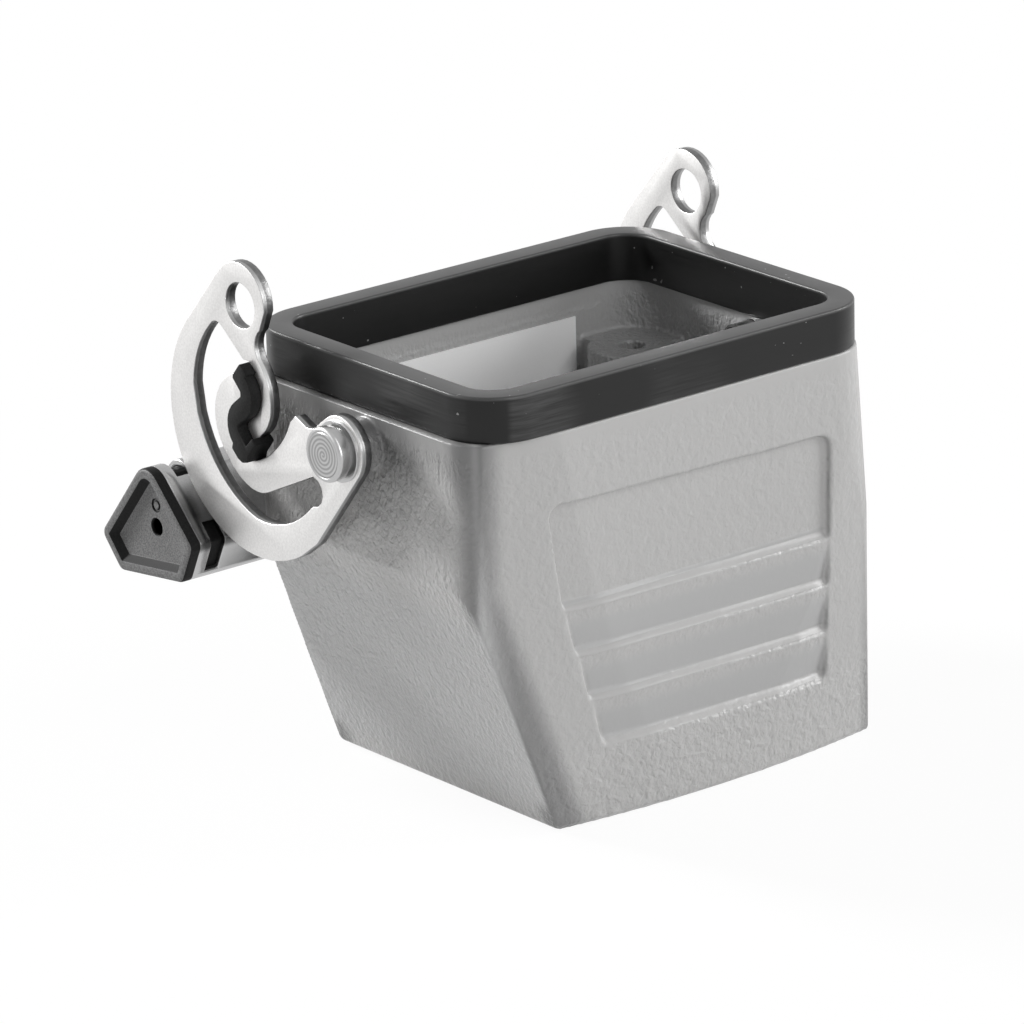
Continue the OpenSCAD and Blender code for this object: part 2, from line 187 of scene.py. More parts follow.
class Finish(Nodes):
    """One material: a Principled shader and the nodes that feed it."""

    def __init__(self, name, **constants):
        self.material = bpy.data.materials.new(name)
        self.material.use_nodes = True
        super().__init__(self.material.node_tree)
        self.shader = self.tree.nodes["Principled BSDF"]
        for socket, value in constants.items():
            self.shader.inputs[socket.replace("_", " ")].default_value = value
        self.place = self.node("ShaderNodeTexCoord").outputs["Object"]

    def noise(self, per_mm, detail=2.0, roughness=0.5, stretch=(1, 1, 1), distortion=0.0):
        """Noise with about per_mm bumps to the millimetre, from 0 to 1."""
        moved = self.node("ShaderNodeMapping", None, {"Vector": self.place, "Scale": stretch})
        made = self.node("ShaderNodeTexNoise", None,
                         {"Vector": moved.outputs[0], "Scale": per_mm / MM, "Detail": detail,
                          "Roughness": roughness, "Distortion": distortion})
        return Wire(self, made.outputs["Fac"])

    def parts(self):
        """The point's x, y and z, in metres."""
        made = self.node("ShaderNodeSeparateXYZ", None, {0: self.place})
        return [Wire(self, made.outputs[i]) for i in range(3)]

    def blend(self, factor, first, second):
        """A colour between first and second."""
        made = self.node("ShaderNodeMix", {"data_type": "RGBA"},
                         {"Factor": factor, 6: first, 7: second})
        return made.outputs[2]

    def bump(self, height, depth_mm, strength=1.0):
        """A surface raised by height times depth_mm."""
        made = self.node("ShaderNodeBump", None,
                         {"Height": height, "Distance": depth_mm * MM, "Strength": strength})
        return made.outputs["Normal"]

    def drive(self, **links):
        """Feeds the shader's sockets with what changes over the surface."""
        for socket, value in links.items():
            self.feed(self.shader.inputs[socket.replace("_", " ")], value)
        print("finish", self.material.name, "nodes:", len(self.tree.nodes))


def grey(level, warm=0.0):
    """A colour of one sRGB level from 0 to 255, a little warm or cool."""
    v = level / 255
    linear = v / 12.92 if v <= 0.04045 else ((v + 0.055) / 1.055) ** 2.4
    return (linear * (1 + warm), linear, linear * (1 - warm), 1)


print("middle grey, linear:", round(grey(128)[0], 3))

# %% [markdown]
# ## Floor
# The floor shines white to the camera and to mirrors, so the background stays plain without
# more light on the hood. It keeps a small share of its shaded side near the hood, which
# is the soft shadow that the hood stands in.

# %% Floor
sunk = 0.2 * MM
near, far = 0.06, 0.16
bpy.ops.mesh.primitive_plane_add(size=8, location=(0, 0, cad_low.z - sunk))
floor = bpy.context.object
floor.name = "floor"
floor_finish = Finish("floor_white", Roughness=0.9, Base_Color=grey(250), Specular_IOR_Level=0.0)
glow = floor_finish.node("ShaderNodeEmission", None, {"Color": (1, 1, 1, 1), "Strength": 1.0})
rays = floor_finish.node("ShaderNodeLightPath")
sight = Wire(floor_finish, rays.outputs["Is Camera Ray"])
mirror = Wire(floor_finish, rays.outputs["Is Glossy Ray"])
across, along, _ = floor_finish.parts()
reach = (across * across + along * along) ** 0.5
white_share = (sight + mirror) * (0.94 + 0.06 * reach.ramp(near, far))
mixed = floor_finish.node("ShaderNodeMixShader", None,
                          {0: white_share, 1: floor_finish.shader.outputs[0],
                           2: glow.outputs[0]})
floor_finish.feed(floor_finish.tree.nodes["Material Output"].inputs["Surface"],
                  mixed.outputs[0])
floor.data.materials.append(floor_finish.material)
print("floor at z", round(cad_low.z - sunk, 5), "m")

# %% [markdown]
# ## World
# A dim, even world fills the shadows. The camera and mirrors see a pale one instead, so the
# steel has something bright to reflect. Light Path tells the two kinds of ray apart.

# %% World
world = bpy.data.worlds.new("studio")
bpy.context.scene.world = world
world.use_nodes = True
sky = Nodes(world.node_tree)
ambient = sky.tree.nodes["Background"]
sky.feed(ambient.inputs["Color"], (1, 1, 1, 1))
sky.feed(ambient.inputs["Strength"], 0.1)
pale = sky.node("ShaderNodeBackground", None, {"Color": (0.8, 0.8, 0.8, 1), "Strength": 1.0})
ray = sky.node("ShaderNodeLightPath")
either = sky.node("ShaderNodeMath", {"operation": "MAXIMUM"},
                  {0: ray.outputs["Is Camera Ray"], 1: ray.outputs["Is Glossy Ray"]})
choose = sky.node("ShaderNodeMixShader", None,
                  {0: either.outputs[0], 1: ambient.outputs[0], 2: pale.outputs[0]})
sky.feed(sky.tree.nodes["World Output"].inputs["Surface"], choose.outputs[0])
print("world nodes:", len(sky.tree.nodes))

# %% [markdown]
# ## Lamps
# Five square area lamps stand on a circle round the hood and aim at its middle. The front
# and the right one carry the long face, the high one the ledges, and the strong small one
# grazes the left end from behind, where it brings out the paint's skin.


# %% Lamps
lamp_target = Vector((0, 0, 0.03))
lamp_distance = 0.9


def soft_lamp(name, turn, height, size, power):
    """A lamp turned in degrees from the front to the right, and raised by height degrees."""
    side, up = math.radians(turn), math.radians(height)
    away = Vector((math.sin(side) * math.cos(up), -math.cos(side) * math.cos(up),
                   math.sin(up)))
    data = bpy.data.lights.new(name, "AREA")
    data.size = size
    data.energy = power
    lamp = bpy.data.objects.new(name, data)
    lamp.location = lamp_target + lamp_distance * away
    lamp.rotation_euler = away.to_track_quat("Z", "Y").to_euler()
    bpy.context.scene.collection.objects.link(lamp)
    print(name, "power:", power, "W")


soft_lamp("right_lamp", 60, 20, 0.4, 4.9)
soft_lamp("front_lamp", 0, 22, 0.4, 2.7)
soft_lamp("high_lamp", 0, 55, 0.4, 0.8)
soft_lamp("grazing_lamp", -155, 28, 0.22, 9.5)
soft_lamp("left_lamp", -115, 20, 0.3, 0.5)

# %% [markdown]
# ## Cast paint: its regions
# The hood is a casting under thick grey paint, and the paint lies differently on the long
# faces, the ends and the grip's slopes, while the corners and the top of the left end carry
# painted shade. Each region is a soft mask from 0 to 1 over a stretch that is given in
# millimetres on the part. Masks need no painted image, and they stay right at any distance.

# %% Regions of the casting
cast = Finish("cast_paint", Specular_IOR_Level=0.5)
x, y, z = cast.parts()
on_face = y.absolute().over(17.5, 21)
on_end = 1 - on_face
left_end = on_end * x.over(-16, -19)
# Painted shade: the top of the left end, under the seal, is darkened.
under_seal = left_end * z.over(40, 48)
near_top = z.over(46.5, 48.5)
low_strip = z.over(13, 7, 0.55, 1.15)
inside = x.absolute().over(30, 28.5) * y.absolute().over(20.4, 19.6) * z.over(2, 4)
print("nodes for the regions:", len(cast.tree.nodes))

# %% [markdown]
# ## Cast paint: the grip
# Three crests like saw teeth cross the grip panel, and thumbs and the mould leave their
# slopes smoother than the rest. The fraction of the height over the pitch says how far
# down a crest a point lies, so one mask serves all three.

# %% The grip's slopes and ledges
grip_top, crest_pitch = 27 * MM, 5.9 * MM
grip_left = -18.3 * MM + (grip_top - z) / 3
in_grip = (x.ramp(grip_left, grip_left + 1 * MM) * x.over(22, 21.4)
           * z.over(8.8, 9.2) * z.over(28.4, 28) * on_face)
down_crest = ((grip_top - z) / crest_pitch).fraction()
smooth_slope = in_grip * down_crest.ramp(0.12, 0.42) * down_crest.ramp(0.9, 0.84)
on_ledge = in_grip * down_crest.ramp(0.84, 0.9)
print("crest pitch:", round(crest_pitch / MM, 1), "mm")

# %% [markdown]
# ## Cast paint: painted shade
# The vertical corners and the top of the left end under the seal are painted darker, as
# painted shade, and a painted shadow of the lever darkens the end round the pivot. The
# sloping end's edge moves with the height, so the corner mask follows a straight line up the
# slope.

# %% Painted shade on the corners and round the pivot
slope_top = 31.6 * MM
left_edge = z.ramp(0.0, slope_top, -18.9 * MM, -30.8 * MM, "LINEAR")
round_y = y.absolute().over(16, 20)
# Painted shade: the vertical corners are darkened, as if shade fell there.
corners = round_y * (x.ramp(left_edge + 6 * MM, left_edge + 1.5 * MM) + x.over(26.5, 31))
pin_low, pin_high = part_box("left_pivot_pin")
pivot = (pin_low + pin_high) / 2
patch_y, patch_z = pivot.y - 2.5 * MM, pivot.z - 3 * MM
from_y, from_z = y - patch_y, z - patch_z
# A painted shadow of the lever, below and in front of the pivot.
painted_pivot_shadow = ((from_y * from_y + from_z * from_z) ** 0.5).over(9.5, 5) * on_end
print("pivot at y, z in mm:", round(pivot.y / MM, 2), round(pivot.z / MM, 2))

# %% [markdown]
# ## Cast paint: skin and colour
# Sprayed paint dries to an orange-peel skin: broad blobs with ripples on the long faces,
# and longer runs on the ends. One height drives the bump, and the same noise shifts the
# colour and the roughness a little, so that they belong together.

# %% Skin and colour of the paint
mean_peel = 0.7
blobs = cast.noise(0.85, 1.5, 0.5, distortion=0.35)
ripples = cast.noise(1.9, 1.5, 0.5, distortion=0.5)
runs = cast.noise(1.6, 2.0, 0.5, stretch=(1, 1, 0.55), distortion=0.3)
peel = ((blobs + ripples * 0.45) * low_strip * on_face
        + (runs * 1.35 + ripples * 0.7) * on_end)
height = ((peel - mean_peel) * (1 - 0.9 * smooth_slope) * (1 - 0.8 * on_ledge)
          * (1 - 0.9 * near_top))
# Painted shade: corners, the top of the left end and the pivot's shadow, with a little random
# tone.
painted_shade = (corners * 1.1 + under_seal * 0.7 + painted_pivot_shadow * 0.55 + blobs * 0.15).ramp(0.1, 1.4)
painted = cast.blend(peel.ramp(0.4, 1.1), grey(169, 0.008), grey(173, 0.008))
# The slopes are painted a little darker, as painted shade of their downward-facing side.
on_slopes = cast.blend(smooth_slope, painted, grey(164))
# grey(116) is the colour of the painted shade.
outside = cast.blend(painted_shade, on_slopes, grey(116))
cast.drive(Base_Color=cast.blend(inside, outside, grey(172)),
           Roughness=0.26 + ripples * 0.14,
           Normal=cast.bump(height, 0.34, 0.9))

# %% [markdown]
# ## Seal rubber
# Black rubber carries the fine lines of its mould and grains of dust. Cloudy lighter marks
# on the outer sides are partly wipe marks and partly painted sheen, and the top of the rim is
# painted lighter as a painted reflection; two masks hold them there. A noise that is
# stretched along the seal gives the lines.

# %% Seal rubber
rubber = Finish("seal_rubber", Specular_IOR_Level=0.32)
streaks = rubber.noise(3.0, 3.0, 0.6, stretch=(0.05, 0.05, 1))
clouds = rubber.noise(0.07, 1.0, 0.4)
dust = rubber.noise(1.7, 0.0).ramp(0.85, 0.88)
seal_x, seal_y, seal_z = rubber.parts()
# The rim's top, painted lighter as a painted reflection.
on_rim = seal_z.over(54.5, 54.8)
outward = seal_x.absolute().over(29.2, 29.6) + seal_y.absolute().over(21.7, 22.1)
# Painted sheen and reflection, mixed with real wipe marks on the outer sides.
wipes_and_sheen = clouds.ramp(0.4, 0.65) * streaks.ramp(0.1, 0.9) * outward * 0.75 + on_rim * 0.9
rubber_wipes_and_sheen = rubber.blend(wipes_and_sheen, grey(17), grey(76))
rubber.drive(Base_Color=rubber.blend(dust, rubber_wipes_and_sheen, grey(130)),
             Roughness=0.26 + streaks * 0.2, Normal=rubber.bump(streaks, 0.01))

# %% [markdown]
# ## Film and plastics
# The label is a bare white film with a faint grain. The moulded plastic is nearly black
# where it was left alone, and paler and rougher on the caps' end faces, which rub on
# things, so the caps take two finishes.

# %% Film and plastics
film = Finish("label_film", Roughness=0.5)
film_grain = film.noise(5.0, 2.0)
film.drive(Base_Color=film.blend(film_grain, grey(249), grey(254)))

black = Finish("black_plastic", Specular_IOR_Level=0.12)
black_grain = black.noise(4.0, 2.0)
black.drive(Base_Color=black.blend(black_grain.ramp(0.3, 0.7), grey(24), grey(34)),
            Roughness=0.5 + black_grain * 0.14, Normal=black.bump(black_grain, 0.02))

worn = Finish("worn_plastic", Specular_IOR_Level=0.4)
worn_grain = worn.noise(4.5, 3.0, 0.7)
worn.drive(Base_Color=worn.blend(worn_grain.ramp(0.35, 0.65), grey(78), grey(114)),
           Roughness=0.45 + worn_grain * 0.2, Normal=worn.bump(worn_grain, 0.05))

# %% [markdown]
# ## Punched steel
# The plates were tumbled after punching, which leaves a pale, evenly scuffed face. Their
# edges show how a punch cuts: the part of the thickness next to one face is burnished,
# and the rest is torn, darker and rough. The distance from the middle tells the two apart.

# %% Punched steel
steel = Finish("plate_steel", Metallic=1.0)
tumble = steel.noise(3.5, 3.0, 0.6)
smear = steel.noise(0.35, 2.0, 0.5)
steel.drive(Base_Color=steel.blend(tumble.ramp(0.3, 0.7), grey(214, 0.01), grey(226, 0.01)),
            Roughness=0.34 + smear * 0.16, Normal=steel.bump(tumble, 0.008))

sheared = Finish("sheared_edge", Metallic=1.0)
shear = sheared.noise(1.6, 3.0, 0.6)
far_out, _, _ = sheared.parts()
torn = far_out.absolute().over(34.45, 34.25)
torn_metal = sheared.blend(shear, grey(96), grey(140))
sheared.drive(Base_Color=sheared.blend(torn, grey(168), torn_metal),
              Roughness=0.3 + shear * 0.16, Normal=sheared.bump(shear * torn, 0.05))

# %% [markdown]
# ## Turned steel
# A lathe leaves one fine spiral on the end of a pin. The radius over the feed, plus the
# angle as a share of a turn, rises by one for each turn of that spiral, so its fraction
# draws the groove. The mask keeps the groove to the head's flat end.

# %% Turned steel
feed_per_turn = 0.5 * MM
head_x = -pin_low.x
turned = Finish("turned_steel", Metallic=1.0)
turn_noise = turned.noise(3.0, 2.0)
pin_x, ring_y, ring_z = turned.parts()
ring_y, ring_z = ring_y - pivot.y, ring_z - pivot.z
radius = (ring_y * ring_y + ring_z * ring_z) ** 0.5
winding = radius / feed_per_turn + ring_z.math("ARCTAN2", ring_z, ring_y) / math.tau
on_disc = (radius.over(2.75, 2.6)
           * pin_x.absolute().ramp(head_x - 0.2 * MM, head_x - 0.1 * MM))
groove = (winding.fraction() - 0.5).absolute().ramp(0.1, 0.4) * on_disc
plain_steel = turned.blend(turn_noise, grey(180), grey(194))
# The groove is also painted darker, as painted shade in it.
turned.drive(Base_Color=turned.blend(groove, plain_steel, grey(150)),
             Roughness=0.26 + turn_noise * 0.12, Normal=turned.bump(groove, 0.03))

# %% [markdown]
# ## Sleeve steel
# The handle's sleeve is bright bent sheet, with faint marks along it from rolling. The
# band that faces the hood is painted darker, as painted shade and a painted dark reflection
# of the hood, so a mask up the bar darkens it. The band is placed from the sleeve's own box.

# %% Sleeve steel
bright = Finish("sleeve_steel", Metallic=1.0)
smudge = bright.noise(0.6, 3.0, 0.5, stretch=(0.15, 1, 1))
bar_low, bar_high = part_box("handle_sleeve")
_, bar_y, bar_z = bright.parts()
up_bar = (bar_z - bar_low.z) / (bar_high.z - bar_low.z)
# Painted shade and painted reflection of the hood on the band that faces it.
shaded = (up_bar.ramp(0.9, 0.72) * up_bar.ramp(0.36, 0.42)
          * bar_y.ramp(bar_low.y + 9 * MM, bar_low.y + 7 * MM))
clean = bright.blend(smudge, grey(178), grey(190))
painted_shade_steel = bright.blend(smudge, grey(84), grey(120))
bright.drive(Base_Color=bright.blend(shaded, clean, painted_shade_steel), Roughness=0.22 + smudge * 0.08)

# %% [markdown]
# ## Making meshes
# A lofted or turned piece is a row of rings, each joined to the next, with its faces turned
# outwards at the end. A ring of a single point is a pole. A piece that follows a CAD
# node's shape starts from a merged copy of it, because the node's own mesh is loose
# triangles.


# %% Making meshes
def new_piece(name, data):
    piece = bpy.data.objects.new(name, data)
    bpy.context.scene.collection.objects.link(piece)
    return piece


def bridge(body, first, second):
    """Joins two closed rings of vertices with faces."""
    count = max(len(first), len(second))
    for k in range(count):
        n = (k + 1) % count
        corners = [first[k % len(first)], first[n % len(first)],
                   second[n % len(second)], second[k % len(second)]]
        body.faces.new(list(dict.fromkeys(corners)))


def outwards(body, data):
    """Turns all faces outwards and writes them to a mesh."""
    bmesh.ops.recalc_face_normals(body, faces=body.faces)
    body.to_mesh(data)
    body.free()
    return data


def copy_of(node, name):
    """A merged copy of a CAD node's mesh, as a new object."""
    data = frame["nodes"][node].data.copy()
    data.materials.clear()
    body = bmesh.new()
    body.from_mesh(data)
    bmesh.ops.remove_doubles(body, verts=body.verts, dist=0.002 * MM)
    body.to_mesh(data)
    body.free()
    return new_piece(name, data)


print("CAD nodes to copy from:", len(frame["nodes"]))

# %% [markdown]
# ## Finishing meshes
# Modifiers are turned into plain mesh before a piece is settled. A narrow bevel on
# sharp edges catches the light as a real edge does. `settle` puts a finished piece on its
# body, hides the CAD nodes that it replaces and prints its faces and box.


# %% Finishing meshes
def apply_all(piece):
    """Turns a piece's modifiers into plain mesh."""
    evaluated = piece.evaluated_get(bpy.context.evaluated_depsgraph_get())
    data = bpy.data.meshes.new_from_object(evaluated)
    piece.modifiers.clear()
    piece.data = data
    return piece


def shade(piece, angle=35):
    piece.data.shade_smooth()
    piece.data.set_sharp_from_angle(angle=math.radians(angle))


def soften(piece, width_mm):
    """Rounds the sharp edges of a prism-like piece."""
    flat, sharp = math.radians(0.3), math.radians(30)
    body = bmesh.new()
    body.from_mesh(piece.data)
    bmesh.ops.dissolve_limit(body, angle_limit=flat, verts=body.verts, edges=body.edges)
    body.to_mesh(piece.data)
    body.free()
    bevel = piece.modifiers.new("round", "BEVEL")
    bevel.width = width_mm * MM
    bevel.segments = 2
    bevel.limit_method = "ANGLE"
    bevel.angle_limit = sharp
    bevel.use_clamp_overlap = False
    apply_all(piece)
    shade(piece)
    return piece


def dress(piece, finish, second=None, takes_second=None):
    """Gives a piece its finish, and a second one to the faces that a test picks."""
    piece.data.materials.append(finish.material)
    if second:
        piece.data.materials.append(second.material)
        for face in piece.data.polygons:
            face.material_index = int(takes_second(face))


def settle(piece, body, slot, *nodes):
    """Puts a finished piece on its body and hides the CAD nodes that it replaces; slot is not
    used.
    """
    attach(piece, body)
    if nodes:
        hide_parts(*nodes)
    places = [v.co for v in piece.data.vertices]
    low = [round(min(p[i] for p in places) / MM, 2) for i in range(3)]
    high = [round(max(p[i] for p in places) / MM, 2) for i in range(3)]
    print(piece.name, "faces:", len(piece.data.polygons), "box:", low, high)


# %% [markdown]
# ## Geometry Nodes helper
# What follows a path is made by a Geometry Nodes tree. Each size is a named input, so it can
# be changed in one place, and `Start` takes the object's own mesh. The tree ends in
# Realize Instances and Set Material, and its result becomes a plain mesh.


# %% Geometry Nodes helper
class Tree(Nodes):
    """A Geometry Nodes tree with named sizes."""

    def __init__(self, name, **sizes):
        super().__init__(bpy.data.node_groups.new(name, "GeometryNodeTree"))
        sockets = self.tree.interface
        sockets.new_socket("Mesh", in_out="OUTPUT", socket_type="NodeSocketGeometry")
        sockets.new_socket("Start", in_out="INPUT", socket_type="NodeSocketGeometry")
        self.sizes = {}
        for key, value in sizes.items():
            made = sockets.new_socket(key, in_out="INPUT", socket_type="NodeSocketFloat")
            self.sizes[made.identifier] = value
        self.given = self.node("NodeGroupInput")

    def size(self, key):
        return Wire(self, self.given.outputs[key])

    def sweep(self, path, section, caps=False):
        """Carries a section along a path, with its sides kept upright."""
        upright = self.node("GeometryNodeSetCurveNormal", {"mode": "Z_UP"},
                            {"Curve": path.outputs[0]})
        swept = self.node("GeometryNodeCurveToMesh", None,
                          {"Curve": upright.outputs[0], "Profile Curve": section.outputs[0],
                           "Fill Caps": caps})
        return swept.outputs[0]

    def piece(self, name, geometry, finish, start=None):
        """Runs the tree on a start mesh and returns the result as a plain object."""
        real = self.node("GeometryNodeRealizeInstances", None, {0: geometry})
        dressed = self.node("GeometryNodeSetMaterial", None,
                            {"Geometry": real.outputs[0], "Material": finish.material})
        self.node("NodeGroupOutput", None, {0: dressed.outputs[0]})
        piece = new_piece(name, start or bpy.data.meshes.new(name))
        modifier = piece.modifiers.new("build", "NODES")
        modifier.node_group = self.tree
        for identifier, value in self.sizes.items():
            modifier[identifier] = value
        print(name, "tree nodes:", len(self.tree.nodes))
        return apply_all(piece)


# %% [markdown]
# ## Housing
# The real hood is a die casting: every edge has a small radius and the walls blend into
# the bosses. Bevels fail where many small faces meet, so the merged copy is remeshed into
# small cells and smoothed a little, which rounds all edges alike, as casting does. It is
# then thinned where it is flat. The entry's bore is first widened to the root of its
# thread, which is a piece of its own.

# %% Housing
skin = copy_of("housing", "housing_casting")
entry = next(m for m in frame["record"]["mounts"] if m["name"] == "cable_entry")
entry_r = entry["dims"]["r_mm"] * MM
thread_r = 12.5 * MM
entry_axis = Vector(entry["pos_m"])
right_part, bore_slack = 0.02, 0.05 * MM
for vertex in skin.data.vertices:
    out = vertex.co - entry_axis
    out.x = 0
    if vertex.co.x > right_part and abs(out.length - entry_r) < bore_slack:
        vertex.co += out.normalized() * (thread_r - entry_r)
remesh = skin.modifiers.new("cast", "REMESH")
remesh.mode = "VOXEL"
remesh.voxel_size = 0.22 * MM
smooth = skin.modifiers.new("soft", "SMOOTH")
smooth.factor = 0.5
smooth.iterations = 3
thin = skin.modifiers.new("thin", "DECIMATE")
thin.ratio = 0.15
apply_all(skin)
dress(skin, cast)
shade(skin, 60)
settle(skin, "hood", "cast_paint", "housing")

# %% [markdown]
# ## Entry thread
# The cable gland screws into a metric thread with a 1.5 mm pitch. A spiral curve carries a
# small kite as its section: the outer half is sunk in the wall, and the inner half is the
# thread's crest.

# %% Entry thread
entry_len = entry["dims"]["length_mm"] * MM
end_gap = 0.8 * MM
flank = 0.48
thread = Tree("entry_thread", Radius=thread_r, Length=entry_len - 2 * end_gap,
              Pitch=1.5 * MM, Depth=thread_r - entry_r)
pitch, length = thread.size("Pitch"), thread.size("Length")
coil = thread.node("GeometryNodeCurveSpiral", None,
                   {"Resolution": 72, "Rotations": length / pitch,
                    "Start Radius": thread.size("Radius"),
                    "End Radius": thread.size("Radius"), "Height": length})
ridge = thread.node("GeometryNodeCurvePrimitiveQuadrilateral", {"mode": "KITE"},
                    {"Width": thread.size("Depth") * 2.0,
                     "Bottom Height": pitch * flank, "Top Height": pitch * flank})
laid = thread.node("GeometryNodeTransform", None,
                   {"Geometry": thread.sweep(coil, ridge, caps=True),
                    "Translation": entry_axis - Vector((entry_len - end_gap, 0, 0)),
                    "Rotation": (0, math.pi / 2, 0)})
thread_piece = thread.piece("entry_thread", laid.outputs[0], turned)
shade(thread_piece)
settle(thread_piece, "hood", "turned_steel")

# %% [markdown]
# ## Seal: its section
# The real seal is a moulded rubber ring with a constant section, and a groove in its
# underside takes the housing's rim. The section is drawn once as right-angled corners, the
# open ones with a small radius. Its widths are millimetres from the seal's outer side. One
# closed outline has no faces hidden in the rubber.


# %% The seal's section
def rounded_corners(corners, steps=5):
    """A closed outline of right angles, where each corner is (across, up, radius)."""
    outline = []
    for k, (across, up, radius) in enumerate(corners):
        corner = Vector((across, up))
        if radius == 0:
            outline.append(corner)
            continue
        before = (Vector(corners[k - 1][:2]) - corner).normalized()
        after = (Vector(corners[(k + 1) % len(corners)][:2]) - corner).normalized()
        middle = corner + (before + after) * radius
        outline += [middle - (after * math.cos(a) + before * math.sin(a)) * radius
                    for a in (math.pi / 2 * i / steps for i in range(steps + 1))]
    return outline


seal_low, seal_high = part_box("rim_seal")
lip_z, top_z = seal_low.z / MM, seal_high.z / MM
body_z, rim_z = 49.4, 53.0
seal_w, wall_w, edge_r = 3.2, 2.5, 0.3
groove_out, groove_in = 1.0, 2.2
section = rounded_corners([
    (0, body_z, edge_r), (0, top_z, edge_r), (seal_w, top_z, edge_r), (seal_w, lip_z, edge_r),
    (wall_w, lip_z, edge_r), (wall_w, body_z, 0), (groove_in, body_z, 0), (groove_in, rim_z, 0),
    (groove_out, rim_z, 0), (groove_out, body_z, 0)])
print("points in the seal's section:", len(section))

# %% [markdown]
# ## Seal: its path
# The path is a rectangle with rounded corners along the seal's outer side. The section is
# the object's own mesh, and the tree carries it round the path. On an upright path the
# section's first axis points out and its second one down, so both are given as negative.

# %% The seal's path
drawn = bpy.data.meshes.new("seal_section")
drawn.from_pydata([(-p.x * MM, -p.y * MM, 0) for p in section],
                  [(k, (k + 1) % len(section)) for k in range(len(section))], [])
ring = Tree("seal_ring", Length=seal_high.x - seal_low.x, Width=seal_high.y - seal_low.y,
            Corner=7 * MM)
oblong = ring.node("GeometryNodeCurvePrimitiveQuadrilateral", None,
                   {"Width": ring.size("Length"), "Height": ring.size("Width")})
path = ring.node("GeometryNodeFilletCurve", {"mode": "POLY"},
                 {"Curve": oblong.outputs[0], "Count": 20, "Radius": ring.size("Corner")})
outline = ring.node("GeometryNodeMeshToCurve", None, {"Mesh": ring.given.outputs["Start"]})
seal = ring.piece("seal_ring", ring.sweep(path, outline), rubber, drawn)
body = bmesh.new()
body.from_mesh(seal.data)
outwards(body, seal.data)
shade(seal, 50)
settle(seal, "hood", "seal_rubber", "rim_seal")

# %% [markdown]
# ## Lever plates and cam tracks
# The plates are punched from sheet: flat faces with a fine burr-free round, and darker,
# rougher sides where the punch sheared the metal. The plastic tracks between the two
# tongues are moulded, and the sleeve is bent. All are prisms, so a narrow bevel on a
# merged copy is enough.

# %% Plates, tracks and sleeve
punched_round, moulded_round, bent_round = 0.12, 0.15, 0.15
flat_face = 0.6
for side in ("left", "right"):
    plate = soften(copy_of(f"{side}_lever_plate", f"{side}_plate"), punched_round)
    dress(plate, steel, sheared, lambda face: abs(face.normal.x) <= flat_face)
    settle(plate, "lever", "plate_steel", f"{side}_lever_plate")
    cam = soften(copy_of(f"{side}_cam_insert", f"{side}_cam_track"), moulded_round)
    dress(cam, black)
    settle(cam, "lever", "black_plastic", f"{side}_cam_insert")

sleeve = soften(copy_of("handle_sleeve", "sleeve"), bent_round)
dress(sleeve, bright)
settle(sleeve, "lever", "sleeve_steel", "handle_sleeve")

# %% [markdown]
# ## Pivot pins: their section
# A pin is turned on a lathe, so its section is drawn once and revolved. The head has a
# rolled edge and a shallow step round its end, a neck passes through the plate, and a
# flange keeps the plate off the casting.


# %% The pins' section
def pin_section(outer, inner):
    """Points of (radius, place along the axis) in mm, from the head to the inner end."""
    head_r, head_t, head_round, neck_r = 3.3, 1.6, 0.45, 2.7
    flange_r, flange_t, gap, pin_r, chamfer = 3.7, 0.4, 0.9, 2.2, 0.3
    under_head, flange_x = outer - head_t, outer - head_t - gap
    points = [(0, outer - 0.04), (2.64, outer - 0.04), (2.7, outer - 0.1),
              (2.76, outer - 0.1), (2.84, outer)]
    points += [(head_r - head_round + head_round * math.sin(a),
                outer - head_round + head_round * math.cos(a))
               for a in (i * math.pi / 14 for i in range(8))]
    points += [(head_r, under_head + chamfer)]
    points += [(head_r - chamfer + chamfer * math.cos(a),
                under_head + chamfer - chamfer * math.sin(a))
               for a in (i * math.pi / 10 for i in range(1, 6))]
    points += [(neck_r, under_head), (neck_r, flange_x + flange_t),
               (flange_r - 0.08, flange_x + flange_t), (flange_r, flange_x + flange_t - 0.08),
               (flange_r, flange_x), (pin_r, flange_x),
               (pin_r, inner + chamfer), (pin_r - chamfer, inner), (0, inner)]
    return points


print("points in a pin's section:", len(pin_section(10, 0)))


# %% [markdown]
# ## Pivot pins: turning them
# Each point of the section becomes a ring round the pivot's axis, which runs along X. The
# end inside the housing is painted black, as painted shade, since little light reaches it.


# %% Turning the pins
def revolve(name, section, axis_y, axis_z, sign, steps=96):
    """Turns a section of (radius, x) points, in metres, about a line along X."""
    body = bmesh.new()
    rings = []
    for radius, along_x in section:
        angles = [math.tau * k / steps for k in range(steps)] if radius else [0]
        rings.append([body.verts.new((along_x * sign, axis_y + radius * math.cos(a),
                                      axis_z + radius * math.sin(a))) for a in angles])
    for first, second in zip(rings, rings[1:]):
        bridge(body, first, second)
    return new_piece(name, outwards(body, bpy.data.meshes.new(name)))


for side, sign in (("left", -1), ("right", 1)):
    low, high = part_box(f"{side}_pivot_pin")
    outer, inner = max(abs(low.x), abs(high.x)) / MM, min(abs(low.x), abs(high.x)) / MM
    centre = (low + high) / 2
    dark_end = (inner + 1) * MM
    pin = revolve(f"{side}_pin", [(r * MM, at * MM) for r, at in pin_section(outer, inner)],
                  centre.y, centre.z, sign)
    # Painted shade: the steel pin's inner end takes the black finish.
    dress(pin, turned, black, lambda face: abs(face.center.x) < dark_end)
    shade(pin, 28)
    settle(pin, "hood", "turned_steel", f"{side}_pivot_pin")

# %% [markdown]
# ## End caps: their outline
# Each cap is a moulded plate with a rolled rim, a pocket with sloping walls, and a small
# hole. All its rings are the handle's outline moved inwards, each corner with its own
# radius, so one function draws them. It gives the same count of points at each inset,
# and rings with equal counts can be joined.


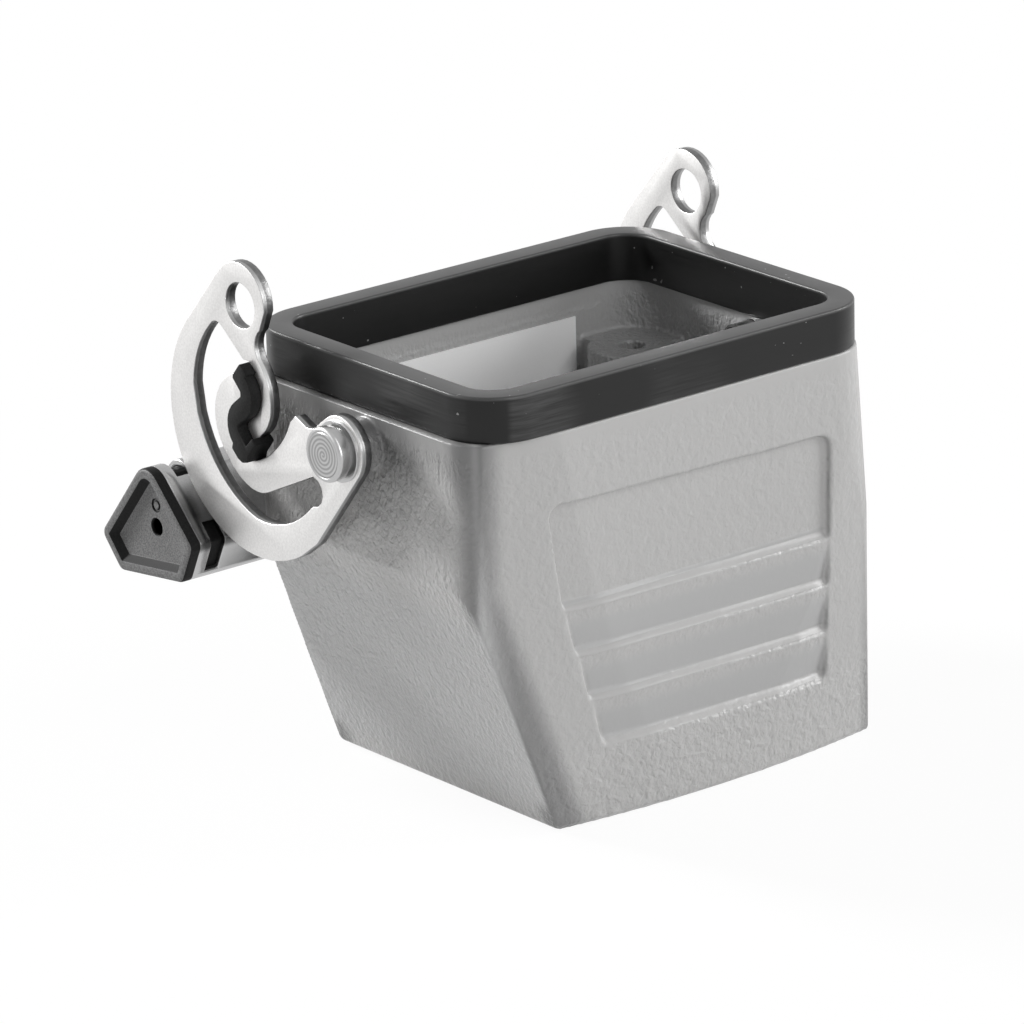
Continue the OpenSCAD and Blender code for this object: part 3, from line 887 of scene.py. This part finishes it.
# %% The caps' outline
def handle_outline(inset):
    """The handle's outline in [y, z] mm, moved inwards by inset."""
    corners = [(8.95, 9.1), (0, 0), (2.3, -5), (14.7, -6.45), (18.3, -2.4)]
    radii = [2.8, 1.1, 1.5, 1.2, 1.2]
    least_r, steps = 0.25, 8
    points = []
    for i, (corner, radius) in enumerate(zip(corners, radii)):
        here = Vector(corner)
        to_last = (Vector(corners[i - 1]) - here).normalized()
        to_next = (Vector(corners[(i + 1) % len(corners)]) - here).normalized()
        half = math.acos(max(-1, min(1, to_last.dot(to_next)))) / 2
        inward = (to_last + to_next).normalized()
        round_r = max(radius - inset, least_r)
        hub = here + inward * (inset + round_r) / math.sin(half)
        first = math.atan2(-inward.y, -inward.x)
        way = 1 if to_last.cross(to_next) < 0 else -1
        for k in range(steps + 1):
            a = first + way * (math.pi - 2 * half) * (k / steps - 0.5)
            points.append(hub + round_r * Vector((math.cos(a), math.sin(a))))
    return points


def circle(centre, radius, count=28):
    return [Vector((centre[0] + radius * math.cos(a), centre[1] + radius * math.sin(a)))
            for a in (math.tau * k / count for k in range(count))]


def fill_between(body, *loops):
    """Fills the flat area between closed loops of vertices."""
    edges = []
    for loop in loops:
        for a, b in zip(loop, loop[1:] + loop[:1]):
            edges.append(body.edges.get((a, b)) or body.edges.new((a, b)))
    bmesh.ops.triangle_fill(body, use_beauty=True, use_dissolve=False, edges=edges)


print("points in a cap's outline:", len(handle_outline(0)))


# %% [markdown]
# ## End caps: lofting them
# A cap is lofted from its back over the rolled rim and down into the pocket. The pocket is
# 1 mm deep in a cap of 1.4 mm, and the mould's mark goes 0.2 mm deeper, so a floor is left
# behind both. Faces that look outwards are worn, and the walls stay black.

# %% Lofting the caps
rim_r, pocket, mark_depth = 0.5, 1.0, 1.2
outer_face = 0.8
hole, mark = (8.2, 0.4), (8.2, 3.1)
plain = handle_outline(0)
for side, sign in (("left", -1), ("right", 1)):
    low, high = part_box(f"{side}_end_cap")
    face_x, back_x = max(abs(low.x), abs(high.x)) / MM, min(abs(low.x), abs(high.x)) / MM
    base = Vector((low.y / MM - min(p.x for p in plain), low.z / MM - min(p.y for p in plain)))
    body = bmesh.new()

    def rings_at(outline_of, steps):
        """Joined rings of the outlines at (inset or radius, x)."""
        rings = [[body.verts.new((sign * at * MM, (base.x + p.x) * MM, (base.y + p.y) * MM))
                  for p in outline_of(amount)] for amount, at in steps]
        for first, second in zip(rings, rings[1:]):
            bridge(body, first, second)
        return rings

    rim = [(rim_r - rim_r * math.cos(a), face_x - rim_r + rim_r * math.sin(a))
           for a in (i * math.pi / 8 for i in range(1, 5))]
    shell = rings_at(handle_outline, [
        (0, back_x), (0, face_x - rim_r), *rim, (1.1, face_x), (1.2, face_x - 0.03),
        (1.27, face_x - 0.12), (1.85, face_x - 0.88), (1.92, face_x - 0.96),
        (2.02, face_x - pocket)])
    through = rings_at(lambda r: circle(hole, r), [
        (1.15, face_x - pocket), (1.05, face_x - 1.1), (1.05, back_x)])
    dish = rings_at(lambda r: circle(mark, r), [
        (0.88, face_x - pocket), (0.74, face_x - mark_depth), (0.6, face_x - mark_depth),
        (0.46, face_x - 1.03)])
    fill_between(body, shell[-1], through[0], dish[0])
    fill_between(body, dish[-1])
    fill_between(body, shell[0], through[-1])
    cap = new_piece(f"{side}_cap", outwards(body, bpy.data.meshes.new(f"{side}_cap")))
    dress(cap, black, worn, lambda face: face.normal.x * sign > outer_face)
    shade(cap, 40)
    settle(cap, "lever", "cap_plastic", f"{side}_end_cap")

# %% [markdown]
# ## CAD nodes that stay
# The handle's core and the label are already right as solids, so the CAD nodes stay and
# only take a finish. The label stays bare on purpose.

# %% CAD nodes that stay
for node, finish in (("handle_core", black), ("inner_label", film)):
    for slot in frame["nodes"][node].material_slots:
        slot.material = finish.material
    print(node, "takes", finish.material.name)

# %% [markdown]
# ## End of the scene
